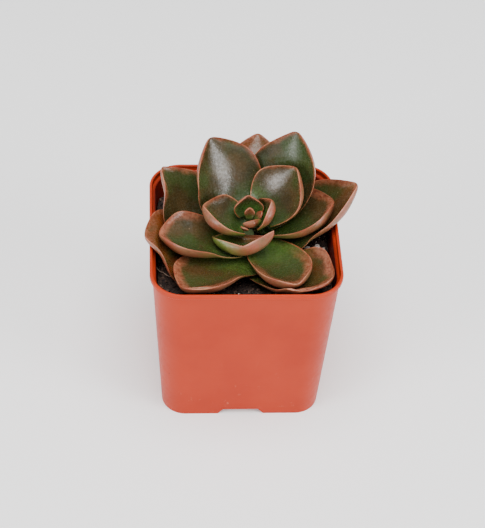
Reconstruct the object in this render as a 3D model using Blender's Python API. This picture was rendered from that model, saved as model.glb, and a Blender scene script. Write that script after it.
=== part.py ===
"""A rosette succulent in a small square plastic nursery pot.

The pot stands on z = 0 with its front toward -Y. The pot, soil, stem, leaves and perlite
grains are separate objects, hung from one empty that puts the origin under the middle of
the whole plant's outline. Lengths in the tables below are millimetres, angles degrees.
"""

from dataclasses import dataclass
from math import cos, hypot, pi, radians, sin

import bmesh
import bpy
from mathutils import Vector
from mathutils.bvhtree import BVHTree

MM = 0.001
TOUCH_GAP = 0.3          # left between pieces that touch

# Pot: a 57 mm (2 1/4 inch) square nursery pot
POT_HEIGHT = 58.0
RIM_HALF = 28.5          # half the outer width at the rim
RIM_CORNER = 9.8         # outer corner radius at the rim
LIP_DEPTH = 1.8          # height of the band round the rim
LIP_REACH = 0.7          # how far that band stands out from the wall
RIM_ROUND = 0.3          # bevel along the top of the rim
BASE_HALF = 24.7
BASE_CORNER = 7.5
WALL = 1.0
FLOOR_INSET = 6.0        # where the floor's skin starts, in from the wall
FLOOR_UNDERSIDE = 2.8    # the floor is raised on a skirt
FLOOR_TOP = 3.8
NOTCH_FOOT_WIDTH = 15.0  # drain notch in the middle of each skirt side
NOTCH_HEAD_WIDTH = 11.0
NOTCH_HEIGHT = 2.2
DRAIN_RADIUS = 2.6
DRAIN_SPREAD = 13.0      # drain holes' distance from the middle along X and Y
CORNER_STEPS = 8
SIDE_STEPS = 4

# Soil
SOIL_LEVEL = 49.5
SOIL_RINGS = 7
SOIL_ROUGHNESS = 0.7
SOIL_HOLLOW = 2.0        # how far the surface dips toward the stem

# Stem, a little right of the pot's middle
STEM_X = 1.5
STEM_FOOT = 42.0
STEM_TOP = 55.8
STEM_RADIUS = 2.2
STEM_TOP_RADIUS = 1.5
STEM_SIDES = 20

# Leaf mesh
LEAF_STATIONS = 13       # from foot to tip
LEAF_HALF_STRIPS = 4     # quads from the midrib to one margin
LEAF_TIP_CROWDING = 1.25 # above 1, stations crowd toward the tip
LEAF_THINNEST = 0.5
PRESS_GAP = 0.45         # left where one leaf lies against another
PRESS_REACH = 7.0
SUPPORT_GAP = 0.6        # least height of a leaf above the soil or the rim
RIM_APRON = 1.6          # a leaf stays above the rim this far inside it
DENT_SPREAD = 3.0        # in mesh cells
PRESS_PASSES = 2


@dataclass
class Leaf:
    """One leaf: where its tip and foot are, and the shape between them."""
    name: str
    azimuth: float           # direction of the tip from the stem, anticlockwise from +X
    reach: float             # distance of the tip from the stem's axis
    top: float               # height of the tip
    foot_radius: float
    foot_height: float
    width: float
    thick: float = 3.2
    bow: float = 0.08        # how far the midrib sags, as a share of the leaf's length
    sweep: float = 0.0       # the same to the left, seen from the stem
    cup: float = 50.0        # angle of the blade at its margins
    roll: float = 0.0        # tilt of the blade about the midrib, left margin up
    foot_share: float = 0.42 # width at the foot, as a share of the full width
    widest: float = 0.52     # where the leaf is widest, as a share of its length
    fullness: float = 2.2    # higher is blunter toward the tip
    foot_turn: float = 0.0   # how far round the stem the foot lies from the tip's azimuth


# Inner leaves come first: each leaf is pressed down by those before it.
LEAVES = [
    Leaf("core_leaf_1", 90, 1.2, 64.8, 0.4, 61, 3.2, thick=0.9, cup=40),
    Leaf("core_leaf_2", 20, 3.8, 63.4, 1.6, 60.6, 2.6, thick=0.9, cup=40),
    Leaf("core_leaf_3", 290, 2.2, 63, 1.8, 59.8, 6, thick=1.0, cup=40),
    Leaf("core_leaf_4", 240, 3.2, 61.2, 2.6, 59.2, 2.4, thick=0.9, cup=40),
    Leaf("heart_leaf_back", 95, 4.4, 67, 3.0, 59.6, 10.5, thick=1.2, cup=60, foot_share=0.6),
    Leaf("heart_leaf_right", 8, 6.4, 68.3, 2.6, 58.8, 11, thick=1.8, bow=0.1, cup=65, foot_share=0.7),
    Leaf("inner_leaf_left", 173, 14.2, 65.6, 1.0, 58, 16, cup=60, foot_share=0.7),
    Leaf("inner_leaf_right", 37, 17.5, 73, 5, 57.5, 21, cup=40, sweep=0.01),
    Leaf("inner_leaf_front", 257, 10.5, 60, 2.5, 56.5, 21, thick=3, bow=0.15, cup=50, roll=15, foot_share=0.5),
    Leaf("tall_leaf_left", 123, 22, 78, 4, 56, 23.5, cup=42, sweep=-0.04, fullness=2.4),
    Leaf("tall_leaf_right", 53, 23.6, 80.3, 6, 55, 23, cup=35, sweep=-0.04, fullness=2.4),
    Leaf("middle_leaf_right", 12, 26.5, 64, 5, 55.5, 19, thick=3.4, bow=0.1, cup=60, sweep=0.02, fullness=3.2),
    Leaf("middle_leaf_left", 190, 28, 60.3, 4, 54.5, 19, thick=3.4, bow=0.05, cup=55, foot_share=0.4, widest=0.68,
         foot_turn=45),
    Leaf("outer_leaf_front_right", 297, 28.5, 59.5, 3.5, 54, 18, thick=3.4, bow=0.09, cup=40, sweep=0.04,
         fullness=2.8, foot_turn=30),
    Leaf("outer_leaf_front_left", 232, 33.2, 58, 3.5, 53.5, 21, thick=3.4, bow=0.05, cup=30, roll=8,
         foot_share=0.7, fullness=2.8),
    Leaf("outer_leaf_rear_left", 152, 30, 70, 4.5, 54, 18.5, cup=40, roll=-6, foot_share=0.3, fullness=1.9),
    Leaf("outer_leaf_rear", 83, 30, 70, 5, 54, 22, bow=0.05, cup=35),
    Leaf("outer_leaf_right", 14, 34, 68.5, 5, 52, 22, thick=3.0, bow=0.12, cup=55, sweep=0.02),
    Leaf("outer_leaf_left", 190, 32.3, 60, 6, 53, 22, bow=0.06, cup=40, foot_share=0.25, widest=0.65, fullness=3.6),
    Leaf("lowest_leaf_front_right", 320, 32, 57.5, 6, 52.5, 22, thick=3.2, bow=0.05, cup=40, sweep=-0.08,
         foot_share=0.3, widest=0.68, fullness=3.4, foot_turn=-45),
    Leaf("lowest_leaf_rear_left", 112, 28, 60.5, 6, 52, 16, thick=2.4, bow=0.03, foot_share=0.3),
    Leaf("lowest_leaf_rear_right", 62, 29, 60, 6, 52, 17, thick=2.4, bow=0.03, foot_share=0.3),
]

# Perlite grains lying on the soil: x, y, size
PERLITE = [
    (16.0, -5.6, 1.6),
    (16.6, -3.0, 2.0),
    (18.8, -4.8, 2.2),
    (19.4, -1.4, 2.2),
    (21.8, -3.2, 1.8),
    (22.6, -0.4, 1.6),
    (-21.5, 10.0, 2.0),
    (-19.0, 13.5, 1.6),
]

GRAIN_FLATNESS = 0.78    # a grain's height as a share of its size

COLOURS = {
    "pot": ((0.70, 0.15, 0.09, 1.0), 0.45),
    "soil": ((0.030, 0.018, 0.014, 1.0), 0.95),
    "stem": ((0.13, 0.20, 0.04, 1.0), 0.6),
    "leaf": ((0.10, 0.11, 0.04, 1.0), 0.35),
    "core": ((0.13, 0.17, 0.05, 1.0), 0.4),
    "perlite": ((0.72, 0.66, 0.58, 1.0), 0.9),
}


# ---------------------------------------------------------------- scene helpers

def clear_scene():
    for existing in list(bpy.data.objects):
        bpy.data.objects.remove(existing, do_unlink=True)


def new_collection(name):
    collection = bpy.data.collections.new(name)
    bpy.context.scene.collection.children.link(collection)
    return collection


def make_material(name, look):
    colour, roughness = look
    material = bpy.data.materials.new(name)
    material.use_nodes = True
    shader = material.node_tree.nodes["Principled BSDF"]
    shader.inputs["Base Color"].default_value = colour
    shader.inputs["Roughness"].default_value = roughness
    shader.inputs["Metallic"].default_value = 0.0
    material.diffuse_color = colour
    return material


def object_from_bmesh(name, shape, collection, look):
    """Turn a bmesh in millimetres into a smooth-shaded object in metres."""
    bmesh.ops.scale(shape, vec=(MM, MM, MM), verts=shape.verts)
    bmesh.ops.recalc_face_normals(shape, faces=shape.faces)
    mesh = bpy.data.meshes.new(name)
    shape.to_mesh(mesh)
    shape.free()
    mesh.shade_smooth()
    mesh.set_sharp_from_angle(angle=radians(40))
    mesh.materials.append(make_material(name, look))
    piece = bpy.data.objects.new(name, mesh)
    collection.objects.link(piece)
    return piece


def loft(rings):
    """A closed body through rings of equal length, with a flat cap on the first and last."""
    shape = bmesh.new()
    loops = [[shape.verts.new(point) for point in ring] for ring in rings]
    count = len(loops[0])
    for lower, upper in zip(loops, loops[1:]):
        for i in range(count):
            j = (i + 1) % count
            shape.faces.new((lower[i], lower[j], upper[j], upper[i]))
    shape.faces.new(list(reversed(loops[0])))
    shape.faces.new(loops[-1])
    return shape


def rounded_square(half, corner, height):
    """Points of a square with round corners, anticlockwise."""
    points = []
    for quarter in range(4):
        turn = quarter * pi / 2
        middle = turn + pi / 4
        centre_x = (half - corner) * (1 if cos(middle) > 0 else -1)
        centre_y = (half - corner) * (1 if sin(middle) > 0 else -1)
        for step in range(CORNER_STEPS + 1):
            angle = turn + step / CORNER_STEPS * pi / 2
            points.append(Vector((centre_x + corner * cos(angle), centre_y + corner * sin(angle), height)))
        straight = 2 * (half - corner) * Vector((-sin(turn + pi / 2), cos(turn + pi / 2), 0))
        corner_end = points[-1]
        points += [corner_end + straight * step / SIDE_STEPS for step in range(1, SIDE_STEPS)]
    return points


def cut(target, cutter):
    """Subtract a cutter, which stays in its own hidden collection."""
    cutter.hide_render = True
    cutter.display_type = "WIRE"
    boolean = target.modifiers.new(cutter.name, "BOOLEAN")
    boolean.operation = "DIFFERENCE"
    boolean.object = cutter


# ---------------------------------------------------------------- pot

def wall_at(height, inset=0.0):
    """Half width and corner radius of the tapered wall at a height, moved in by inset."""
    share = height / POT_HEIGHT
    half = BASE_HALF + (RIM_HALF - LIP_REACH - BASE_HALF) * share
    corner = BASE_CORNER + (RIM_CORNER - LIP_REACH - BASE_CORNER) * share
    return half - inset, corner - inset


def make_pot(collection, cutters):
    lip_foot = POT_HEIGHT - LIP_DEPTH
    inner_lip_foot = lip_foot - WALL / 2
    rings = [
        rounded_square(*wall_at(0, WALL + FLOOR_INSET), FLOOR_UNDERSIDE),
        rounded_square(*wall_at(FLOOR_UNDERSIDE, WALL), FLOOR_UNDERSIDE),
        rounded_square(*wall_at(0, WALL), 0),
        rounded_square(*wall_at(0), 0),
        rounded_square(*wall_at(lip_foot), lip_foot),
        rounded_square(RIM_HALF, RIM_CORNER, lip_foot + LIP_REACH / 2),
        rounded_square(RIM_HALF, RIM_CORNER, POT_HEIGHT - RIM_ROUND),
        rounded_square(RIM_HALF - RIM_ROUND, RIM_CORNER - RIM_ROUND, POT_HEIGHT),
        rounded_square(RIM_HALF - WALL + RIM_ROUND, RIM_CORNER - WALL + RIM_ROUND, POT_HEIGHT),
        rounded_square(RIM_HALF - WALL, RIM_CORNER - WALL, POT_HEIGHT - RIM_ROUND),
        rounded_square(RIM_HALF - WALL, RIM_CORNER - WALL, lip_foot),
        rounded_square(*wall_at(inner_lip_foot, WALL), inner_lip_foot),
        rounded_square(*wall_at(FLOOR_TOP, WALL), FLOOR_TOP),
        rounded_square(*wall_at(0, WALL + FLOOR_INSET), FLOOR_TOP),
    ]
    pot = object_from_bmesh("pot", loft(rings), collection, COLOURS["pot"])
    for turn, label in ((0, "x"), (90, "y")):
        cut(pot, make_notch_cutter(f"notch_cutter_{label}", turn, cutters))
    for side_x in (-1, 1):
        for side_y in (-1, 1):
            cut(pot, make_drain_cutter(side_x, side_y, cutters))
    return pot


def make_notch_cutter(name, turn, cutters):
    """A long trapezoid bar that opens two opposite skirt sides at once."""
    length = 2 * (BASE_HALF + 5)
    shape = bmesh.new()
    bmesh.ops.create_cube(shape, size=1)
    for vert in shape.verts:
        high = vert.co.z > 0
        vert.co.x *= length
        vert.co.y *= NOTCH_HEAD_WIDTH if high else NOTCH_FOOT_WIDTH + 1
        vert.co.z = NOTCH_HEIGHT if high else -NOTCH_HEIGHT / 2
    cutter = object_from_bmesh(name, shape, cutters, COLOURS["pot"])
    cutter.rotation_euler.z = radians(turn)
    return cutter


def make_drain_cutter(side_x, side_y, cutters):
    shape = bmesh.new()
    bmesh.ops.create_cone(shape, cap_ends=True, segments=24, radius1=DRAIN_RADIUS,
                          radius2=DRAIN_RADIUS, depth=6)
    cutter = object_from_bmesh(f"drain_cutter_{side_x}_{side_y}", shape, cutters, COLOURS["pot"])
    cutter.location = (side_x * DRAIN_SPREAD * MM, side_y * DRAIN_SPREAD * MM, FLOOR_TOP * MM)
    return cutter


# ---------------------------------------------------------------- soil, stem, perlite

def soil_height(x, y):
    """The potting mix's lumpy surface, dipping toward the stem."""
    slow = sin(0.23 * x + 0.9) + cos(0.27 * y - 0.4)
    quick = sin(0.9 * x + 0.4 * y) * cos(0.7 * y - 0.5 * x + 1.1)
    hollow = SOIL_HOLLOW * max(0.0, 1 - hypot(x - STEM_X, y) / RIM_HALF)
    return SOIL_LEVEL + SOIL_ROUGHNESS * (0.5 * slow + 0.5 * quick) - hollow


def support_height(x, y):
    """Height of what lies under a leaf: the soil, or the rim where the leaf crosses it."""
    straight = RIM_HALF - RIM_CORNER
    past_corner = hypot(max(abs(x) - straight, 0), max(abs(y) - straight, 0))
    return soil_height(x, y) if past_corner < RIM_CORNER - WALL - RIM_APRON else POT_HEIGHT


def make_soil(collection):
    hole = STEM_RADIUS + TOUCH_GAP
    hole_foot = STEM_FOOT - TOUCH_GAP
    outline = rounded_square(*wall_at(SOIL_LEVEL, WALL + TOUCH_GAP), 0)
    hole_ring = []
    for x, y, _ in outline:
        reach = Vector((x, y)).normalized() * hole
        hole_ring.append((STEM_X + reach.x, reach.y))
    floor = FLOOR_TOP + TOUCH_GAP
    rings = [
        rounded_square(*wall_at(floor, WALL + TOUCH_GAP), floor),
        [(x, y, soil_height(x, y) - 1.0) for x, y, _ in outline],
    ]
    for ring in range(1, SOIL_RINGS + 1):
        share = ring / SOIL_RINGS
        inset = 0.04 + 0.96 * share
        points = []
        for (x, y, _), (hole_x, hole_y) in zip(outline, hole_ring):
            along = Vector((x, y)).lerp(Vector((hole_x, hole_y)), inset)
            points.append((along.x, along.y, soil_height(along.x, along.y)))
        rings.append(points)
    rings.append([(x, y, hole_foot) for x, y in hole_ring])
    return object_from_bmesh("soil", loft(rings), collection, COLOURS["soil"])


def make_stem(collection):
    shape = bmesh.new()
    bmesh.ops.create_cone(shape, cap_ends=True, segments=STEM_SIDES, radius1=STEM_RADIUS,
                          radius2=STEM_TOP_RADIUS, depth=STEM_TOP - STEM_FOOT)
    bmesh.ops.translate(shape, verts=shape.verts, vec=(STEM_X, 0, (STEM_TOP + STEM_FOOT) / 2))
    return object_from_bmesh("stem", shape, collection, COLOURS["stem"])


def make_perlite(index, x, y, size, collection):
    """A rough grain, flattened a little and turned by its place in the list."""
    shape = bmesh.new()
    bmesh.ops.create_icosphere(shape, subdivisions=2, radius=size / 2)
    for vert in shape.verts:
        swell = 1 + 0.16 * sin(5 * vert.co.x + index) + 0.12 * cos(6 * vert.co.y - 2 * index)
        vert.co.x *= swell
        vert.co.y *= swell * 0.85
        vert.co.z *= GRAIN_FLATNESS
    ground = max(soil_height(x + dx, y + dy) for dx in (-size / 2, 0, size / 2)
                 for dy in (-size / 2, 0, size / 2))
    grain = object_from_bmesh(f"perlite_{index + 1}", shape, collection, COLOURS["perlite"])
    grain.location = (x * MM, y * MM, (ground + TOUCH_GAP + GRAIN_FLATNESS / 2 * size) * MM)
    return grain


# ---------------------------------------------------------------- leaves

def half_width_share(share, leaf):
    """Outline of the blade: 1 at its widest, narrow at the foot, a point at the tip."""
    if share < leaf.widest:
        back = (leaf.widest - share) / leaf.widest
        return leaf.foot_share + (1 - leaf.foot_share) * (1 - back ** 2)
    ahead = (share - leaf.widest) / (1 - leaf.widest)
    return 1 - ahead ** leaf.fullness


def thickness_share(share):
    """Fleshy in the middle, slimmer at the foot, tapering over the last quarter."""
    toward_tip = min(1.0, (1 - share) / 0.25) ** 0.6
    toward_foot = min(1.0, 0.35 + share / 0.6)
    return toward_tip * toward_foot


def polar(radius, azimuth, height):
    return Vector((STEM_X + radius * cos(radians(azimuth)), radius * sin(radians(azimuth)), height))


def leaf_sections(leaf):
    """Upper points, lower points and inward normals, station by station from the foot."""
    foot = polar(leaf.foot_radius, leaf.azimuth + leaf.foot_turn, leaf.foot_height)
    tip = polar(leaf.reach, leaf.azimuth, leaf.top)
    length = (tip - foot).length
    along = (tip - foot).normalized()
    left = Vector((0, 0, 1)).cross(along).normalized()
    above = along.cross(left)
    guide = (foot + tip) / 2 + 2 * length * (leaf.sweep * left - leaf.bow * above)
    sections = []
    for station in range(LEAF_STATIONS + 1):
        share = 1 - (1 - station / LEAF_STATIONS) ** LEAF_TIP_CROWDING
        centre = foot.lerp(guide, share).lerp(guide.lerp(tip, share), share)
        heading = (guide - foot).lerp(tip - guide, share).normalized()
        side = (left - left.dot(heading) * heading).normalized()
        inward = heading.cross(side)
        tilt = radians(leaf.roll) * min(1.0, share / 0.3)
        side, inward = side * cos(tilt) + inward * sin(tilt), inward * cos(tilt) - side * sin(tilt)
        half = leaf.width / 2 * half_width_share(share, leaf)
        curl = radians(leaf.cup) * (0.8 + 0.2 * share)
        flesh = leaf.thick * thickness_share(share)
        upper, lower, normals = [], [], []
        for strip in range(-LEAF_HALF_STRIPS, LEAF_HALF_STRIPS + 1):
            across = sin(strip / LEAF_HALF_STRIPS * pi / 2)
            angle = curl * across
            point = centre + half / curl * (side * sin(angle) + inward * (1 - cos(angle)))
            normal = inward * cos(angle) - side * sin(angle)
            depth = flesh * max(0.0, 1 - across ** 2) ** 0.6
            upper.append(point)
            lower.append(point - normal * depth)
            normals.append(normal)
        sections.append((upper, lower, normals))
    return sections


def needed_drop(top, bottom, normal, placed):
    """How far a point of the upper face must sink to clear the leaves placed before."""
    start = bottom - normal * PRESS_REACH
    span = (top - start).length
    drop = 0.0
    for tree in placed:
        hit, facing, _, distance = tree.ray_cast(start, normal, span + PRESS_GAP)
        if hit is not None and facing.dot(normal) < 0:
            drop = max(drop, span + PRESS_GAP - distance)
    return drop


def measured_drops(sections, placed):
    """The drop each grid point needs, read at the points and in the middle of each cell."""
    drops = {}
    last_strip = 2 * LEAF_HALF_STRIPS
    for station in range(LEAF_STATIONS):
        for strip in range(last_strip):
            corners = [(station, strip), (station + 1, strip), (station, strip + 1), (station + 1, strip + 1)]
            middle = [sum((sections[i][layer][j] for i, j in corners), Vector()) / 4 for layer in range(3)]
            middle_drop = needed_drop(middle[0], middle[1], middle[2].normalized(), placed)
            for i, j in corners:
                upper, lower, normals = sections[i]
                own_drop = needed_drop(upper[j], lower[j], normals[j], placed)
                drop = max(middle_drop, own_drop, drops.get((i, j), 0.0))
                if drop > 0:
                    drops[i, j] = drop
    return drops


def press_under(sections, placed):
    """Push a leaf down where those placed before lie in the way, as one smooth dent.

    The flesh thins first; where it is at its thinnest, the lower face sinks too.
    Soil and rim hold it up from below.
    """
    drops = measured_drops(sections, placed)
    for station, (upper, lower, normals) in enumerate(sections):
        for strip, normal in enumerate(normals):
            dent = 0.0
            for (other_station, other_strip), drop in drops.items():
                apart = hypot(station - other_station, strip - other_strip) / DENT_SPREAD
                dent = max(dent, drop * (cos(min(1.0, apart) * pi) + 1) / 2)
            upper[strip] = upper[strip] - normal * dent
            thinnest = LEAF_THINNEST if 0 < strip < len(normals) - 1 else 0.0
            lack = thinnest - (upper[strip] - lower[strip]).dot(normal)
            if lack > 0:
                lower[strip] = lower[strip] - normal * lack
            ground = support_height(lower[strip].x, lower[strip].y) + SUPPORT_GAP
            lower[strip].z = max(lower[strip].z, ground)
            upper[strip].z = max(upper[strip].z, ground + thinnest)


def leaf_bmesh(sections):
    """Skin the sections: an upper and a lower face that share both margins and the tip."""
    shape = bmesh.new()
    upper_rows, lower_rows = [], []
    for upper, lower, _ in sections[:-1]:
        row = [shape.verts.new(point) for point in upper]
        under = [shape.verts.new(point) for point in lower[1:-1]]
        upper_rows.append(row)
        lower_rows.append([row[0]] + under + [row[-1]])
    last_upper = sections[-1][0]
    tip = shape.verts.new(last_upper[LEAF_HALF_STRIPS])
    strips = 2 * LEAF_HALF_STRIPS
    for rows, flip in ((upper_rows, False), (lower_rows, True)):
        for near, far in zip(rows, rows[1:]):
            for i in range(strips):
                corners = [near[i], far[i], far[i + 1], near[i + 1]]
                shape.faces.new(corners[::-1] if flip else corners)
        for i in range(strips):
            corners = [rows[-1][i], tip, rows[-1][i + 1]]
            shape.faces.new(corners[::-1] if flip else corners)
    shape.faces.new(upper_rows[0] + lower_rows[0][-2:0:-1])
    return shape


def make_leaves(collection, stem):
    placed = [tree_in_millimetres(stem)]
    leaves = []
    for leaf in LEAVES:
        sections = leaf_sections(leaf)
        for _ in range(PRESS_PASSES):
            press_under(sections, placed)
        shape = leaf_bmesh(sections)
        bmesh.ops.triangulate(shape, faces=[face for face in shape.faces if len(face.verts) > 4])
        bmesh.ops.recalc_face_normals(shape, faces=shape.faces)
        placed.append(BVHTree.FromBMesh(shape))
        look = COLOURS["core"] if leaf.name.startswith("core") else COLOURS["leaf"]
        leaves.append(object_from_bmesh(leaf.name, shape, collection, look))
    return leaves


def tree_in_millimetres(piece):
    shape = bmesh.new()
    shape.from_mesh(piece.data)
    bmesh.ops.scale(shape, vec=(1 / MM, 1 / MM, 1 / MM), verts=shape.verts)
    tree = BVHTree.FromBMesh(shape)
    shape.free()
    return tree


# ---------------------------------------------------------------- assembly

def centre_on_origin(pieces, collection):
    """Hang every piece from one empty, moved so that the outline is centred on X and Y."""
    bpy.context.view_layer.update()
    corners = [piece.matrix_world @ vert.co for piece in pieces for vert in piece.data.vertices]
    middle_x = (min(p.x for p in corners) + max(p.x for p in corners)) / 2
    middle_y = (min(p.y for p in corners) + max(p.y for p in corners)) / 2
    hanger = bpy.data.objects.new("plant_in_pot", None)
    hanger.location = (-middle_x, -middle_y, 0)
    collection.objects.link(hanger)
    for piece in pieces:
        piece.parent = hanger
    return hanger


def main():
    clear_scene()
    collection = new_collection("potted_succulent")
    cutters = new_collection("cutters")
    pot = make_pot(collection, cutters)
    soil = make_soil(collection)
    stem = make_stem(collection)
    leaves = make_leaves(collection, stem)
    grains = [make_perlite(i, *grain, collection) for i, grain in enumerate(PERLITE)]
    hanger = centre_on_origin([pot, soil, stem] + leaves + grains, collection)
    for cutter in cutters.objects:
        cutter.parent = hanger


main()
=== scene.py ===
"""Finish of the potted rosette succulent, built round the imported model."""

import random
from math import cos, hypot, pi, radians, sin

import bmesh
import bpy
from mathutils import Euler, Matrix, Vector, noise
from mathutils.bvhtree import BVHTree
from mathutils.kdtree import KDTree


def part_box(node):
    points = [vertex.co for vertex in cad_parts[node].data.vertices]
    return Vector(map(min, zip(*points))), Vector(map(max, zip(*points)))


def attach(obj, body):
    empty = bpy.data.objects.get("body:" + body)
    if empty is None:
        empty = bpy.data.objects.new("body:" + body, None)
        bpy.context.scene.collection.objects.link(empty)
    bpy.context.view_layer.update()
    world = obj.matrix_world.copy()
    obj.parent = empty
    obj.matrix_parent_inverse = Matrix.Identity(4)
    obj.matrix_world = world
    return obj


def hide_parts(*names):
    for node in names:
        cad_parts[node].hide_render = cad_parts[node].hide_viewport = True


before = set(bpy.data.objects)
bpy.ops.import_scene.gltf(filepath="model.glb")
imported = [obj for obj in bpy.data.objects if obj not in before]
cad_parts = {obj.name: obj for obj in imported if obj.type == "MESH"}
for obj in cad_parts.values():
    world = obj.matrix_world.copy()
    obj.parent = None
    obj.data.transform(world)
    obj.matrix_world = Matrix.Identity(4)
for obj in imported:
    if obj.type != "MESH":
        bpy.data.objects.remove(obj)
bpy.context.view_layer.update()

MM = 0.001
MERGE_DISTANCE = 0.002 * MM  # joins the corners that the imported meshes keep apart

# Pot section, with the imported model's sizes
LIP_DEPTH = 1.8 * MM
LIP_REACH = 0.7 * MM
WALL = 1.0 * MM
RIM_CORNER = 9.8 * MM
BASE_HALF = 24.7 * MM
BASE_CORNER = 7.5 * MM
FLOOR_UNDERSIDE = 2.8 * MM
FLOOR_TOP = 3.8 * MM
NOTCH_FOOT_WIDTH = 15.0 * MM
NOTCH_HEAD_WIDTH = 11.0 * MM
NOTCH_HEIGHT = 2.2 * MM
DRAIN_RADIUS = 2.6 * MM
DRAIN_SPREAD = 13.0 * MM
CUTTER_MARGIN = 5.0 * MM     # how far a cutter runs past what it cuts
NOTCH_FLARE = 1.0 * MM       # extra width of the notch cutter below the floor
FLOOR_INSET = 6.0 * MM       # where the floor's skin starts, in from the wall
CORNER_STEPS = 20
BEAD_STEPS = 8

# Leaves
MARGIN_FOLD = radians(105)   # faces meeting more sharply than this meet at a leaf's margin
SIDE_FOLDS = (72, 60, 50, 84, 40, 95)   # degrees, tried in turn to part a leaf's two sides
END_FACE = -0.75             # a face that looks back this squarely is the foot's end, on neither side
LEAST_SIDE_SHARE = 0.35      # of the faces, for a side to be believed
MARGIN_CREASE = 0.55
MARGIN_SAMPLES = 8           # points along each margin edge that distances are measured to
FOOT_POINTS = 8              # vertices farthest from the tip, averaged for the foot
JOIN_ANGLE = radians(50)     # triangles flatter than this to each other become one quad
HEART_RISE = 20.0 * MM       # a leaf's upper side faces a point this far above its own middle
LEAF_LEVELS = 3
CORE_LEVELS = 2

# Potting mix
SOIL_LEVEL = 50.0 * MM
SOIL_LEVELS = 3
UPWARD = 0.3                 # a vertex whose normal rises more than this is on the mix's surface
COARSE_RELIEF = 0.55 * MM
CRUMB_RELIEF = 0.25 * MM
RELIEF_SINK = 0.15 * MM      # the surface is lowered by this, so that crumbs do not lift it
PERLITE_COUNT = 8
PERLITE_LEVELS = 2
PERLITE_RELIEF = 0.12 * MM
GRIT_SEED = 7
GRAIN_COUNT = 3200
WALL_CLEARANCE = 0.8 * MM
GRAIN_SMALLEST = 0.25 * MM
GRAIN_LARGEST = 1.15 * MM
SOIL_SIDE_TOP = 44.0 * MM    # the mix is roughened only above this
STEM_HOLE_LEVEL = 45.0 * MM  # a grain that would land lower has found the stem's hole
OVERHEAD = 0.09              # height from which things are dropped on the mix
GRIT_CLUSTER_X = 19.0 * MM   # pale grit lies thickest here
GRIT_CLUSTER_Y = -2.5 * MM
GRIT_CLUSTER_RADIUS = 7.0 * MM
FIBRE_SEED = 3
FIBRE_RADIUS = 0.12 * MM
FIBRE_BEND = 0.35 * MM
FIBRE_STEPS = 8

# Root fibres lying on the mix: x and y in millimetres, turn in degrees, length in millimetres
FIBRES = [
    (-23.5, -11.5, -35, 7.0),
    (-20.5, -15, -60, 4.5),
    (14, -11, 20, 4.0),
    (23.5, -8, 100, 3.5),
]

# Camera
LENS = 109.1
SENSOR = 36
CAMERA_ELEVATION = radians(45.5)
CAMERA_YAW = radians(-4.7)
CAMERA_ROLL = radians(3.2)
CAMERA_DISTANCE = 0.493
AIM_HEIGHT = 42.2 * MM
AIM_ASIDE = 0.1 * MM

# Studio
FLOOR_HALF = 3
WORLD_STRENGTH = 0.42

POT_LOW, POT_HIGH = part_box("pot")
POT_X = (POT_LOW[0] + POT_HIGH[0]) / 2
POT_Y = (POT_LOW[1] + POT_HIGH[1]) / 2
POT_HEIGHT = POT_HIGH[2]
RIM_HALF = (POT_HIGH[0] - POT_LOW[0]) / 2
STEM_LOW, STEM_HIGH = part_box("stem")
STEM_X = (STEM_LOW[0] + STEM_HIGH[0]) / 2
STEM_Y = (STEM_LOW[1] + STEM_HIGH[1]) / 2

# How far each leaf has turned: (autumn orange, fresh green, salmon along the margin), 0 to 1
LEAF_TONES = {
    "outer_leaf_left": (0.85, 0.0, 0.5),
    "outer_leaf_rear": (0.75, 0.0, 0.3),
    "outer_leaf_right": (0.35, 0.1, 0.5),
    "lowest_leaf_front_right": (0.4, 0.5, 1.0),
    "lowest_leaf_rear_left": (0.7, 0.0, 0.6),
    "lowest_leaf_rear_right": (0.7, 0.0, 0.6),
    "outer_leaf_front_left": (0.25, 0.35, 0.9),
    "outer_leaf_front_right": (0.15, 0.45, 0.9),
    "outer_leaf_rear_left": (0.1, 0.1, 0.25),
    "middle_leaf_left": (0.1, 0.25, 0.7),
    "middle_leaf_right": (0.15, 0.45, 0.8),
    "tall_leaf_left": (0.1, 0.0, 0.15),
    "tall_leaf_right": (0.05, 0.0, 0.15),
    "inner_leaf_right": (0.15, 0.1, 0.2),
    "inner_leaf_left": (0.1, 0.2, 0.35),
    "inner_leaf_front": (0.2, 0.3, 0.7),
    "heart_leaf_back": (0.0, 0.9, 0.15),
    "heart_leaf_right": (0.05, 0.7, 0.3),
    "core_leaf_1": (0.5, 0.3, 0.5),
    "core_leaf_2": (0.5, 0.3, 0.5),
    "core_leaf_3": (0.0, 0.9, 0.2),
    "core_leaf_4": (0.5, 0.3, 0.5),
}


# ---------------------------------------------------------------- node helpers

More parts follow.
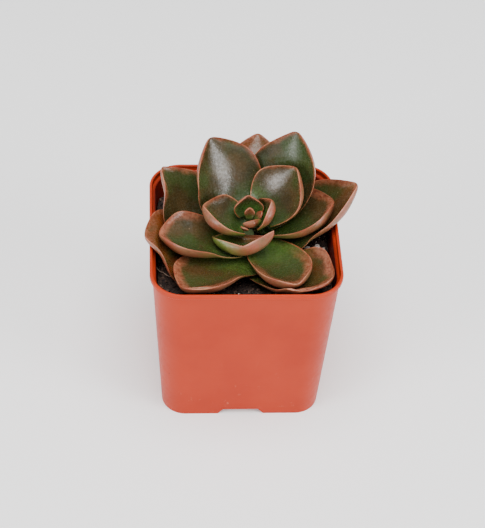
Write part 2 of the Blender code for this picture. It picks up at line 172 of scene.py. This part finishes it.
class Shader:
    """A small writer for node trees: each call adds a node and returns its output."""

    def __init__(self, name):
        self.material = bpy.data.materials.new(name)
        self.material.use_nodes = True
        self.tree = self.material.node_tree
        self.surface = self.tree.nodes["Principled BSDF"]

    def feed(self, socket, value):
        if isinstance(value, bpy.types.NodeSocket):
            self.tree.links.new(value, socket)
        else:
            socket.default_value = value

    def node(self, kind, **settings):
        made = self.tree.nodes.new(kind)
        for key, value in settings.items():
            setattr(made, key, value)
        return made

    def attribute(self, name):
        return self.node("ShaderNodeAttribute", attribute_name=name).outputs["Fac"]

    def position(self):
        return self.node("ShaderNodeTexCoord").outputs["Object"]

    def noise(self, scale, detail=3.0, roughness=0.5, where=None):
        made = self.node("ShaderNodeTexNoise")
        self.feed(made.inputs["Vector"], where or self.position())
        made.inputs["Scale"].default_value = scale
        made.inputs["Detail"].default_value = detail
        made.inputs["Roughness"].default_value = roughness
        return made.outputs["Fac"]

    def cells(self, scale):
        made = self.node("ShaderNodeTexVoronoi")
        self.feed(made.inputs["Vector"], self.position())
        made.inputs["Scale"].default_value = scale
        return made.outputs["Distance"]

    def math(self, operation, first, second=0.0):
        made = self.node("ShaderNodeMath", operation=operation)
        self.feed(made.inputs[0], first)
        self.feed(made.inputs[1], second)
        return made.outputs[0]

    def ramp(self, value, low, high, to_low=0.0, to_high=1.0):
        """Smoothly from to_low to to_high as value goes from low to high."""
        made = self.node("ShaderNodeMapRange", interpolation_type="SMOOTHSTEP")
        self.feed(made.inputs["Value"], value)
        made.inputs["From Min"].default_value = low
        made.inputs["From Max"].default_value = high
        made.inputs["To Min"].default_value = to_low
        made.inputs["To Max"].default_value = to_high
        return made.outputs["Result"]

    def mix(self, share, first, second):
        made = self.node("ShaderNodeMix", data_type="RGBA")
        self.feed(made.inputs[0], share)
        self.feed(made.inputs[6], first)
        self.feed(made.inputs[7], second)
        return made.outputs[2]

    def bump(self, height, strength, distance):
        made = self.node("ShaderNodeBump")
        self.feed(made.inputs["Height"], height)
        made.inputs["Strength"].default_value = strength
        made.inputs["Distance"].default_value = distance
        return made.outputs["Normal"]

    def finish(self, **inputs):
        for name, value in inputs.items():
            self.feed(self.surface.inputs[name.replace("_", " ")], value)
        return self.material


def rgb(red, green, blue):
    return (red, green, blue, 1.0)


# ---------------------------------------------------------------- mesh helpers

def new_piece(name, mesh, material, slot, *replaced):
    mesh.materials.clear()
    mesh.materials.append(material)
    piece = bpy.data.objects.new(name, mesh)
    bpy.context.scene.collection.objects.link(piece)
    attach(piece, "root")
    if replaced:
        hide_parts(*replaced)
    return piece


def mesh_from(shape, name):
    mesh = bpy.data.meshes.new(name)
    shape.to_mesh(mesh)
    shape.free()
    if "custom_normal" in mesh.attributes:
        mesh.attributes.remove(mesh.attributes["custom_normal"])
    mesh.shade_smooth()
    return mesh


def evaluated_mesh(holder):
    """The mesh of an object with its modifiers applied; the object itself is removed."""
    bpy.context.view_layer.update()
    evaluated = holder.evaluated_get(bpy.context.evaluated_depsgraph_get())
    mesh = bpy.data.meshes.new_from_object(evaluated)
    bpy.data.objects.remove(holder, do_unlink=True)
    return mesh


def holder_for(mesh):
    """A passing object that carries a mesh's modifiers."""
    holder = bpy.data.objects.new("holder", mesh)
    bpy.context.scene.collection.objects.link(holder)
    return holder


def cad_shape(name):
    """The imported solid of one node, ready to edit."""
    shape = bmesh.new()
    shape.from_mesh(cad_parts[name].data)
    bmesh.ops.remove_doubles(shape, verts=shape.verts, dist=MERGE_DISTANCE)
    return shape


def subdivided(shape, name, levels, kind="CATMULL_CLARK"):
    holder = holder_for(mesh_from(shape, name))
    subdivision = holder.modifiers.new("fine", "SUBSURF")
    subdivision.subdivision_type = kind
    subdivision.levels = levels
    subdivision.render_levels = levels
    return evaluated_mesh(holder)


def add_values(mesh, name, values):
    """Store one number per vertex for the materials to read."""
    layer = mesh.attributes.new(name, "FLOAT", "POINT")
    layer.data.foreach_set("value", values)


# ---------------------------------------------------------------- leaves

def leaf_sides(shape, outward, fold):
    """Label the faces by side: spread over the skin from face to face, not past a sharp fold."""
    labels = {}
    group = 0
    for first in shape.faces:
        if first in labels or first.normal.dot(outward) < END_FACE:
            continue
        labels[first] = group
        front = [first]
        while front:
            face = front.pop()
            for edge in face.edges:
                if len(edge.link_faces) != 2 or edge.calc_face_angle(0) > fold:
                    continue
                other = edge.link_faces[0] if edge.link_faces[1] is face else edge.link_faces[1]
                if other not in labels and other.normal.dot(outward) >= END_FACE:
                    labels[other] = group
                    front.append(other)
        group += 1
    return labels, group


def under_faces(shape, middle, outward):
    """The indices of the faces on the leaf's lower side."""
    for fold in SIDE_FOLDS:
        labels, groups = leaf_sides(shape, outward, radians(fold))
        counts = sorted(list(labels.values()).count(group) for group in range(groups))
        if groups > 1 and counts[-2] > LEAST_SIDE_SHARE * len(labels):
            break
    toward_heart = (Vector((STEM_X, STEM_Y, middle.z + HEART_RISE)) - middle).normalized()
    facing = [0.0] * groups
    for face, group in labels.items():
        facing[group] += face.normal.dot(toward_heart) * face.calc_area()
    return {face.index for face, group in labels.items() if facing[group] < 0}


def leaf_skin(name, levels):
    """A smooth copy of a leaf that carries its margin distance, length share and sides."""
    shape = cad_shape(name)
    bmesh.ops.join_triangles(shape, faces=shape.faces, angle_face_threshold=JOIN_ANGLE,
                             angle_shape_threshold=JOIN_ANGLE)
    shape.normal_update()
    shape.faces.index_update()
    axis_distance = {vert: hypot(vert.co.x - STEM_X, vert.co.y - STEM_Y) for vert in shape.verts}
    lowest = min(vert.co.z for vert in shape.verts)
    tip = max(shape.verts, key=lambda vert: axis_distance[vert] + vert.co.z - lowest).co.copy()
    near = sorted(shape.verts, key=lambda vert: (vert.co - tip).length)[-FOOT_POINTS:]
    foot = sum((vert.co for vert in near), Vector()) / len(near)
    outward = (tip - foot).normalized()
    under = under_faces(shape, (tip + foot) / 2, outward)
    side_layer = shape.faces.layers.float.new("under")
    for face in shape.faces:
        face[side_layer] = 1.0 if face.index in under else 0.0
    crease = shape.edges.layers.float.new("crease_edge")
    samples = []
    for edge in shape.edges:
        if len(edge.link_faces) == 2 and edge.calc_face_angle(0) > MARGIN_FOLD:
            edge[crease] = MARGIN_CREASE
            start, end = edge.verts[0].co, edge.verts[1].co
            samples += [start.lerp(end, step / MARGIN_SAMPLES) for step in range(MARGIN_SAMPLES)]
    mesh = subdivided(shape, name, levels)
    tree = KDTree(len(samples))
    for index, sample in enumerate(samples):
        tree.insert(sample, index)
    tree.balance()
    add_values(mesh, "rim", [tree.find(vert.co)[2] / MM for vert in mesh.vertices])
    length = (tip - foot).length
    add_values(mesh, "along", [(vert.co - foot).dot(outward) / length for vert in mesh.vertices])
    return mesh


def make_leaves():
    material = leaf_material()
    for name, (autumn, fresh, blush) in LEAF_TONES.items():
        core = name.startswith("core")
        mesh = leaf_skin(name, CORE_LEVELS if core else LEAF_LEVELS)
        count = len(mesh.vertices)
        add_values(mesh, "autumn", [autumn] * count)
        add_values(mesh, "fresh", [fresh] * count)
        add_values(mesh, "blush", [blush] * count)
        new_piece(name + "_skin", mesh, material, "core" if core else "leaf", name)


def leaf_material():
    leaf = Shader("waxy_leaf")
    rim = leaf.attribute("rim")
    along = leaf.attribute("along")
    autumn = leaf.attribute("autumn")
    fresh = leaf.attribute("fresh")
    under = leaf.attribute("under")
    patches = leaf.noise(170, 4, 0.6)
    grain = leaf.noise(900, 3, 0.6)
    wander = leaf.noise(260, 3)

    # Upper face: bronze blade, green toward the foot, reddened toward the margin
    blade = leaf.mix(leaf.ramp(patches, 0.35, 0.68), rgb(0.014, 0.021, 0.006), rgb(0.052, 0.034, 0.012))
    green = leaf.mix(leaf.ramp(grain, 0.3, 0.7), rgb(0.024, 0.062, 0.008), rgb(0.050, 0.110, 0.018))
    reach = leaf.math("ADD", along, leaf.math("MULTIPLY", leaf.math("SUBTRACT", patches, 0.5), 0.5))
    past_green = leaf.math("SUBTRACT", reach, leaf.math("MULTIPLY", fresh, 0.45))
    foot_share = leaf.ramp(past_green, 0.0, 0.45, 1.0, 0.0)
    upper = leaf.mix(foot_share, blade, green)
    orange = leaf.mix(leaf.ramp(patches, 0.3, 0.7), rgb(0.20, 0.042, 0.009), rgb(0.10, 0.042, 0.009))
    upper = leaf.mix(leaf.math("MULTIPLY", autumn, leaf.ramp(along, 0.2, 0.8, 0.35, 1.0)), upper, orange)
    olive = leaf.ramp(leaf.noise(95, 2, 0.5), 0.42, 0.66, 0.0, 0.75)
    upper = leaf.mix(olive, upper, rgb(0.028, 0.052, 0.012))
    blush_edge = leaf.math("ADD", rim, leaf.math("MULTIPLY", leaf.math("SUBTRACT", wander, 0.5), 3.0))
    blush_edge = leaf.math("SUBTRACT", blush_edge, leaf.math("MULTIPLY", leaf.attribute("blush"), 2.6))
    blush = leaf.math("MULTIPLY", leaf.ramp(blush_edge, -1.0, 1.3, 0.95, 0.0),
                      leaf.ramp(along, 0.25, 0.8, 0.05, 1.0))
    pink = leaf.mix(leaf.ramp(grain, 0.3, 0.7), rgb(0.17, 0.040, 0.018), rgb(0.33, 0.115, 0.060))
    upper = leaf.mix(blush, upper, pink)

    # Lower face: dusty salmon, yellow-green toward the foot
    salmon = leaf.mix(leaf.ramp(patches, 0.3, 0.7), rgb(0.25, 0.058, 0.030), rgb(0.18, 0.080, 0.034))
    streaks = leaf.ramp(leaf.noise(520, 4, 0.65), 0.48, 0.68, 0.0, 0.55)
    salmon = leaf.mix(streaks, salmon, rgb(0.095, 0.060, 0.022))
    lime = leaf.mix(leaf.ramp(grain, 0.3, 0.7), rgb(0.075, 0.115, 0.014), rgb(0.13, 0.15, 0.026))
    lower = leaf.mix(leaf.ramp(reach, 0.15, 0.62, 1.0, 0.0), salmon, lime)

    colour = leaf.mix(under, upper, lower)
    coral = leaf.mix(leaf.ramp(wander, 0.35, 0.7), rgb(0.30, 0.055, 0.028), rgb(0.50, 0.200, 0.110))
    margin = leaf.ramp(rim, 0.10, 0.48, 0.9, 0.0)
    margin = leaf.math("MULTIPLY", margin, leaf.ramp(along, -0.05, 0.35, 0.35, 1.0))
    colour = leaf.mix(margin, colour, coral)
    specks = leaf.ramp(leaf.cells(620), 0.05, 0.16, 1.0, 0.0)
    chosen = leaf.ramp(leaf.noise(260, 1), 0.52, 0.62)
    colour = leaf.mix(leaf.math("MULTIPLY", leaf.math("MULTIPLY", specks, chosen), 0.35), colour,
                      rgb(0.34, 0.24, 0.12))
    bloom = leaf.ramp(leaf.noise(2600, 2), 0.45, 0.75, 0.0, 0.10)
    colour = leaf.mix(bloom, colour, rgb(0.22, 0.19, 0.12))

    rough = leaf.ramp(leaf.noise(1300, 3), 0.3, 0.75, 0.20, 0.38)
    rough = leaf.math("ADD", rough, leaf.math("MULTIPLY", under, 0.14))
    height = leaf.math("ADD", leaf.math("MULTIPLY", leaf.noise(1500, 4), 0.5), leaf.noise(330, 2))
    height = leaf.math("SUBTRACT", height, leaf.math("MULTIPLY", specks, 0.3))
    return leaf.finish(Base_Color=colour, Roughness=rough, Normal=leaf.bump(height, 0.35, 0.25 * MM),
                       Subsurface_Weight=0.06, Subsurface_Radius=(1.0, 0.45, 0.2), Subsurface_Scale=1.2 * MM,
                       Coat_Weight=0.06, Coat_Roughness=0.15, Specular_IOR_Level=0.42)


# ---------------------------------------------------------------- pot

def rounded_square(half, corner, height):
    """Points of a square with round corners about the pot's middle, anticlockwise."""
    points = []
    for quarter in range(4):
        turn = quarter * pi / 2
        middle = turn + pi / 4
        centre_x = POT_X + (half - corner) * (1 if cos(middle) > 0 else -1)
        centre_y = POT_Y + (half - corner) * (1 if sin(middle) > 0 else -1)
        for step in range(CORNER_STEPS + 1):
            angle = turn + step / CORNER_STEPS * pi / 2
            points.append(Vector((centre_x + corner * cos(angle), centre_y + corner * sin(angle), height)))
    return points


def wall_at(height, inset=0.0):
    """Half width and corner radius of the tapered wall at a height, moved in by inset."""
    share = height / POT_HEIGHT
    half = BASE_HALF + (RIM_HALF - LIP_REACH - BASE_HALF) * share
    corner = BASE_CORNER + (RIM_CORNER - LIP_REACH - BASE_CORNER) * share
    return half - inset, corner - inset


def loft(rings):
    """A closed body through rings of equal length."""
    shape = bmesh.new()
    loops = [[shape.verts.new(point) for point in ring] for ring in rings]
    count = len(loops[0])
    for lower, upper in zip(loops, loops[1:]):
        for i in range(count):
            j = (i + 1) % count
            shape.faces.new((lower[i], lower[j], upper[j], upper[i]))
    shape.faces.new(list(reversed(loops[0])))
    shape.faces.new(loops[-1])
    bmesh.ops.recalc_face_normals(shape, faces=shape.faces)
    return shape


def pot_rings():
    lip_foot = POT_HEIGHT - LIP_DEPTH
    inner_lip_foot = lip_foot - WALL / 2
    rings = [
        rounded_square(*wall_at(0, WALL + FLOOR_INSET), FLOOR_UNDERSIDE),
        rounded_square(*wall_at(FLOOR_UNDERSIDE, WALL), FLOOR_UNDERSIDE),
        rounded_square(*wall_at(0, WALL), 0),
        rounded_square(*wall_at(0), 0),
        rounded_square(*wall_at(lip_foot), lip_foot),
        rounded_square(RIM_HALF - 0.2 * MM, RIM_CORNER - 0.2 * MM, lip_foot + 0.15 * MM),
        rounded_square(RIM_HALF, RIM_CORNER, lip_foot + 0.4 * MM),
    ]
    bead = WALL / 2
    for step in range(BEAD_STEPS + 1):
        angle = pi * step / BEAD_STEPS
        inset = bead * (1 - cos(angle))
        height = POT_HEIGHT - bead * (1 - sin(angle))
        rings.append(rounded_square(RIM_HALF - inset, RIM_CORNER - inset, height))
    rings += [
        rounded_square(RIM_HALF - WALL, RIM_CORNER - WALL, lip_foot),
        rounded_square(*wall_at(inner_lip_foot, WALL), inner_lip_foot),
        rounded_square(*wall_at(FLOOR_TOP, WALL), FLOOR_TOP),
        rounded_square(*wall_at(0, WALL + FLOOR_INSET), FLOOR_TOP),
    ]
    return rings


def inside_share(place):
    """1 on the skin that faces the soil, 0 on the outer skin and the rim: the mask for the painted shade
    inside the pot.
    """
    half, corner = wall_at(place.z, WALL * 0.7)
    if place.z > POT_HEIGHT - LIP_DEPTH:
        half, corner = RIM_HALF - WALL * 0.7, RIM_CORNER - WALL * 0.7
    across_x = max(abs(place.x - POT_X) - half + corner, 0)
    across_y = max(abs(place.y - POT_Y) - half + corner, 0)
    within = hypot(across_x, across_y) < corner
    return 1.0 if within and FLOOR_TOP < place.z + 0.1 * MM < POT_HEIGHT - 0.2 * MM else 0.0


def notch_cutter(turn):
    shape = bmesh.new()
    bmesh.ops.create_cube(shape, size=1)
    for vert in shape.verts:
        high = vert.co.z > 0
        vert.co.x *= 2 * BASE_HALF + 2 * CUTTER_MARGIN
        vert.co.y *= NOTCH_HEAD_WIDTH if high else NOTCH_FOOT_WIDTH + NOTCH_FLARE
        vert.co.z = NOTCH_HEIGHT if high else -NOTCH_HEIGHT / 2
    bmesh.ops.rotate(shape, verts=shape.verts, matrix=Matrix.Rotation(turn, 3, "Z"))
    bmesh.ops.translate(shape, verts=shape.verts, vec=(POT_X, POT_Y, 0))
    return holder_for(mesh_from(shape, "notch"))


def drain_cutter(side_x, side_y):
    shape = bmesh.new()
    bmesh.ops.create_cone(shape, cap_ends=True, segments=32, radius1=DRAIN_RADIUS, radius2=DRAIN_RADIUS,
                          depth=CUTTER_MARGIN + 1 * MM)
    bmesh.ops.translate(shape, verts=shape.verts,
                        vec=(POT_X + side_x * DRAIN_SPREAD, POT_Y + side_y * DRAIN_SPREAD, FLOOR_TOP))
    return holder_for(mesh_from(shape, "drain"))


def make_pot():
    holder = holder_for(mesh_from(loft(pot_rings()), "pot"))
    cutters = [notch_cutter(0), notch_cutter(pi / 2)]
    cutters += [drain_cutter(x, y) for x in (-1, 1) for y in (-1, 1)]
    for cutter in cutters:
        boolean = holder.modifiers.new("cut", "BOOLEAN")
        boolean.operation = "DIFFERENCE"
        boolean.object = cutter
    mesh = evaluated_mesh(holder)
    for cutter in cutters:
        bpy.data.objects.remove(cutter, do_unlink=True)
    mesh.set_sharp_from_angle(angle=radians(35))
    add_values(mesh, "inside", [inside_share(vert.co) for vert in mesh.vertices])
    return new_piece("pot_shell", mesh, pot_material(), "pot", "pot")


def pot_material():
    """Terracotta-orange moulded plastic, lighter toward the rim, scuffed low down, with painted shade
    darkening the inner walls.
    """
    pot = Shader("moulded_pot")
    place = pot.position()
    split = pot.node("ShaderNodeSeparateXYZ")
    pot.feed(split.inputs[0], place)
    height = split.outputs["Z"]
    cloud = pot.noise(55, 3, 0.55)
    colour = pot.mix(pot.ramp(cloud, 0.3, 0.7), rgb(0.34, 0.025, 0.006), rgb(0.38, 0.031, 0.008))
    colour = pot.mix(pot.ramp(height, 40 * MM, 58 * MM, 0.0, 0.35), colour, rgb(0.44, 0.046, 0.015))
    streak_place = pot.node("ShaderNodeMapping")
    pot.feed(streak_place.inputs["Vector"], place)
    streak_place.inputs["Scale"].default_value = (1.0, 1.0, 0.6)
    scuffs = pot.noise(420, 4, 0.7, streak_place.outputs[0])
    low = pot.ramp(height, 4 * MM, 30 * MM, 1.0, 0.0)
    scuffed = pot.math("MULTIPLY", pot.ramp(scuffs, 0.62, 0.74, 0.0, 0.6), low)
    colour = pot.mix(scuffed, colour, rgb(0.52, 0.15, 0.09))
    dots = pot.ramp(pot.cells(170), 0.02, 0.055, 1.0, 0.0)
    chosen = pot.ramp(pot.noise(40, 1), 0.58, 0.64)
    colour = pot.mix(pot.math("MULTIPLY", dots, chosen), colour, rgb(0.10, 0.020, 0.012))
    # Painted shade: the skin that faces the soil is darkened toward deep red, standing in for the shade
    # inside the pot.
    colour = pot.mix(pot.math("MULTIPLY", pot.attribute("inside"), 0.85), colour, rgb(0.12, 0.009, 0.005))
    rough = pot.ramp(pot.noise(700, 3), 0.3, 0.7, 0.34, 0.44)
    bumps = pot.math("ADD", pot.noise(2200, 3), pot.math("MULTIPLY", cloud, 1.5))
    return pot.finish(Base_Color=colour, Roughness=rough, Normal=pot.bump(bumps, 0.12, 0.1 * MM),
                      Specular_IOR_Level=0.12)


# ---------------------------------------------------------------- soil and what lies on it

def cad_tree(name):
    shape = bmesh.new()
    shape.from_mesh(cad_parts[name].data)
    tree = BVHTree.FromBMesh(shape)
    shape.free()
    return tree


def soil_relief(place):
    """Crumbs and hollows of the potting mix, in metres."""
    coarse = noise.fractal(place * 330, 1.0, 2.0, 4)
    crumbs = noise.cell(place * 900)
    return COARSE_RELIEF * coarse + CRUMB_RELIEF * crumbs


def make_soil():
    mesh = subdivided(cad_shape("soil"), "soil", SOIL_LEVELS, "SIMPLE")
    normals = [vert.normal.copy() for vert in mesh.vertices]
    for vert, normal in zip(mesh.vertices, normals):
        if normal.z > UPWARD and vert.co.z > SOIL_SIDE_TOP:
            vert.co.z += soil_relief(vert.co) - RELIEF_SINK
    return new_piece("potting_mix", mesh, soil_material(), "soil", "soil")


def soil_material():
    soil = Shader("potting_mix")
    fine = soil.noise(1500, 4, 0.7)
    colour = soil.mix(soil.ramp(fine, 0.35, 0.65), rgb(0.010, 0.006, 0.005), rgb(0.060, 0.034, 0.026))
    crumbs = soil.ramp(soil.noise(500, 3), 0.55, 0.7)
    colour = soil.mix(crumbs, colour, rgb(0.085, 0.048, 0.034))
    height = soil.math("ADD", fine, soil.cells(1100))
    return soil.finish(Base_Color=colour, Roughness=0.95, Normal=soil.bump(height, 0.8, 0.4 * MM))


def grain_template():
    shape = bmesh.new()
    bmesh.ops.create_icosphere(shape, subdivisions=1, radius=0.5)
    shape.verts.index_update()
    places = [vert.co.copy() for vert in shape.verts]
    faces = [[vert.index for vert in face.verts] for face in shape.faces]
    shape.free()
    return places, faces


def make_grit():
    """Loose crumbs over the whole surface: mostly dark, some tan, a few pale."""
    chance = random.Random(GRIT_SEED)
    ground = cad_tree("soil")
    half, corner = wall_at(SOIL_LEVEL, WALL + WALL_CLEARANCE)
    straight = half - corner
    template, template_faces = grain_template()
    places, faces, tones = [], [], []
    made = 0
    while made < GRAIN_COUNT:
        x = chance.uniform(-half, half)
        y = chance.uniform(-half, half)
        if hypot(max(abs(x) - straight, 0), max(abs(y) - straight, 0)) > corner:
            continue
        hit = ground.ray_cast(Vector((POT_X + x, POT_Y + y, OVERHEAD)), Vector((0, 0, -1)))[0]
        if hit is None or hit.z < STEM_HOLE_LEVEL:
            continue
        made += 1
        size = GRAIN_SMALLEST + (GRAIN_LARGEST - GRAIN_SMALLEST) * chance.random() ** 2.2
        turn = Euler((chance.uniform(0, pi), chance.uniform(0, pi), chance.uniform(0, pi))).to_matrix()
        pale = chance.random()
        near_cluster = hypot(x - GRIT_CLUSTER_X, y - GRIT_CLUSTER_Y) < GRIT_CLUSTER_RADIUS
        shade = 0.95 if pale > (0.62 if near_cluster else 0.975) else 0.55 * pale ** 2
        first = len(places)
        centre = hit + Vector((0, 0, size * 0.15))
        for point in template:
            push = 1 + 0.45 * noise.noise(point * 3.4 + Vector((made * 0.37, 0, 0)))
            flat = Vector((point.x * push, point.y * push, point.z * push * 0.72))
            places.append(centre + turn @ (flat * size))
            tones.append(shade)
        faces += [[first + index for index in face] for face in template_faces]
    mesh = bpy.data.meshes.new("grit")
    mesh.from_pydata(places, [], faces)
    add_values(mesh, "tone", tones)
    return new_piece("grit", mesh, grit_material(), "soil")


def grit_material():
    grit = Shader("grit")
    tone = grit.attribute("tone")
    fine = grit.noise(3000, 3)
    colour = grit.mix(grit.ramp(tone, 0.0, 0.5), rgb(0.016, 0.010, 0.008), rgb(0.20, 0.115, 0.08))
    colour = grit.mix(grit.ramp(tone, 0.6, 0.9), colour, rgb(0.66, 0.58, 0.50))
    colour = grit.mix(grit.ramp(fine, 0.35, 0.7, 0.0, 0.5), colour, rgb(0.06, 0.035, 0.028))
    return grit.finish(Base_Color=colour, Roughness=0.9, Normal=grit.bump(fine, 0.6, 0.1 * MM))


def make_perlite():
    material = perlite_material()
    for index in range(1, PERLITE_COUNT + 1):
        name = f"perlite_{index}"
        mesh = subdivided(cad_shape(name), name, PERLITE_LEVELS)
        normals = [vert.normal.copy() for vert in mesh.vertices]
        for vert, normal in zip(mesh.vertices, normals):
            vert.co += normal * PERLITE_RELIEF * noise.fractal(vert.co * 1400, 1.0, 2.0, 3)
        new_piece(name + "_grain", mesh, material, "perlite", name)


def perlite_material():
    perlite = Shader("perlite")
    pores = perlite.noise(2600, 4, 0.7)
    colour = perlite.mix(perlite.ramp(pores, 0.3, 0.6), rgb(0.36, 0.27, 0.21), rgb(0.82, 0.76, 0.70))
    return perlite.finish(Base_Color=colour, Roughness=0.85, Normal=perlite.bump(pores, 0.9, 0.2 * MM))


def make_fibres():
    """Thin pale root fibres lying on the mix."""
    material = fibre_material()
    ground = cad_tree("soil")
    chance = random.Random(FIBRE_SEED)
    for index, (x, y, turn, length) in enumerate(FIBRES):
        points = []
        for step in range(FIBRE_STEPS + 1):
            along = (step / FIBRE_STEPS - 0.5) * length * MM
            bend = FIBRE_BEND * sin(step * 0.9 + index)
            px = POT_X + x * MM + along * cos(radians(turn)) - bend * sin(radians(turn))
            py = POT_Y + y * MM + along * sin(radians(turn)) + bend * cos(radians(turn))
            hit = ground.ray_cast(Vector((px, py, OVERHEAD)), Vector((0, 0, -1)))[0]
            height = (hit.z if hit else SOIL_LEVEL) + (0.45 + 0.2 * chance.random()) * MM
            points.append((px, py, height))
        curve = bpy.data.curves.new(f"fibre_{index + 1}", "CURVE")
        curve.dimensions = "3D"
        curve.bevel_depth = FIBRE_RADIUS
        curve.bevel_resolution = 2
        curve.use_fill_caps = True
        line = curve.splines.new("NURBS")
        line.points.add(len(points) - 1)
        for point, place in zip(line.points, points):
            point.co = (*place, 1.0)
        line.use_endpoint_u = True
        mesh = evaluated_mesh(holder_for(curve))
        new_piece(f"fibre_{index + 1}", mesh, material, "soil")


def fibre_material():
    fibre = Shader("fibre")
    shade = fibre.mix(fibre.noise(900), rgb(0.42, 0.27, 0.19), rgb(0.62, 0.46, 0.36))
    return fibre.finish(Base_Color=shade, Roughness=0.7)


# ---------------------------------------------------------------- stem and studio

def dress_stem():
    stem = Shader("stem")
    fibre = stem.noise(800, 3)
    colour = stem.mix(fibre, rgb(0.018, 0.034, 0.005), rgb(0.040, 0.060, 0.012))
    material = stem.finish(Base_Color=colour, Roughness=0.55, Normal=stem.bump(fibre, 0.4, 0.2 * MM))
    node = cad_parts["stem"]
    node.data.materials.clear()
    node.data.materials.append(material)


def make_floor():
    """A plain pale floor, lifted a little by its own glow."""
    shape = bmesh.new()
    bmesh.ops.create_grid(shape, x_segments=1, y_segments=1, size=FLOOR_HALF)
    floor = bpy.data.objects.new("floor", mesh_from(shape, "floor"))
    bpy.context.scene.collection.objects.link(floor)
    pale = Shader("pale_floor")
    shade = pale.mix(pale.noise(3), rgb(0.95, 0.95, 0.95), rgb(0.97, 0.97, 0.97))
    floor.data.materials.append(pale.finish(Base_Color=shade, Roughness=0.6, Emission_Color=shade,
                                            Emission_Strength=0.15))


def add_area_light(name, azimuth, elevation, distance, size, power):
    light = bpy.data.lights.new(name, "AREA")
    light.shape = "DISK"
    light.size = size
    light.energy = power
    lamp = bpy.data.objects.new(name, light)
    aim = Vector((POT_X, POT_Y, POT_HEIGHT))
    toward = Vector((cos(elevation) * cos(azimuth), cos(elevation) * sin(azimuth), sin(elevation)))
    lamp.location = aim + toward * distance
    lamp.rotation_euler = toward.to_track_quat("Z", "Y").to_euler()
    bpy.context.scene.collection.objects.link(lamp)


def make_studio():
    make_floor()
    world = bpy.data.worlds.new("studio")
    world.use_nodes = True
    background = world.node_tree.nodes["Background"]
    background.inputs["Color"].default_value = rgb(1.0, 1.0, 1.0)
    background.inputs["Strength"].default_value = WORLD_STRENGTH
    bpy.context.scene.world = world
    add_area_light("left_softbox", radians(-150), radians(15), 0.8, 0.4, 5.0)
    add_area_light("right_softbox", radians(-30), radians(17), 0.8, 0.4, 5.5)
    add_area_light("top_softbox", radians(-90), radians(78), 0.9, 0.8, 13.0)


def make_camera():
    camera = bpy.data.cameras.new("camera")
    camera.lens = LENS
    camera.sensor_width = SENSOR
    camera.clip_start = 0.01
    viewer = bpy.data.objects.new("camera", camera)
    back = Vector((sin(CAMERA_YAW) * cos(CAMERA_ELEVATION), -cos(CAMERA_YAW) * cos(CAMERA_ELEVATION),
                   sin(CAMERA_ELEVATION)))
    forward = -back
    right = forward.cross(Vector((0, 0, 1))).normalized()
    up = right.cross(forward)
    rolled_right = right * cos(CAMERA_ROLL) + up * sin(CAMERA_ROLL)
    rolled_up = up * cos(CAMERA_ROLL) - right * sin(CAMERA_ROLL)
    aim = Vector((POT_X + AIM_ASIDE, POT_Y, AIM_HEIGHT))
    place = aim + back * CAMERA_DISTANCE
    axes = Matrix((rolled_right, rolled_up, back)).transposed()
    viewer.matrix_world = Matrix.Translation(place) @ axes.to_4x4()
    bpy.context.scene.collection.objects.link(viewer)
    bpy.context.scene.camera = viewer


make_leaves()
make_pot()
make_soil()
make_grit()
make_perlite()
make_fibres()
dress_stem()
make_studio()
make_camera()
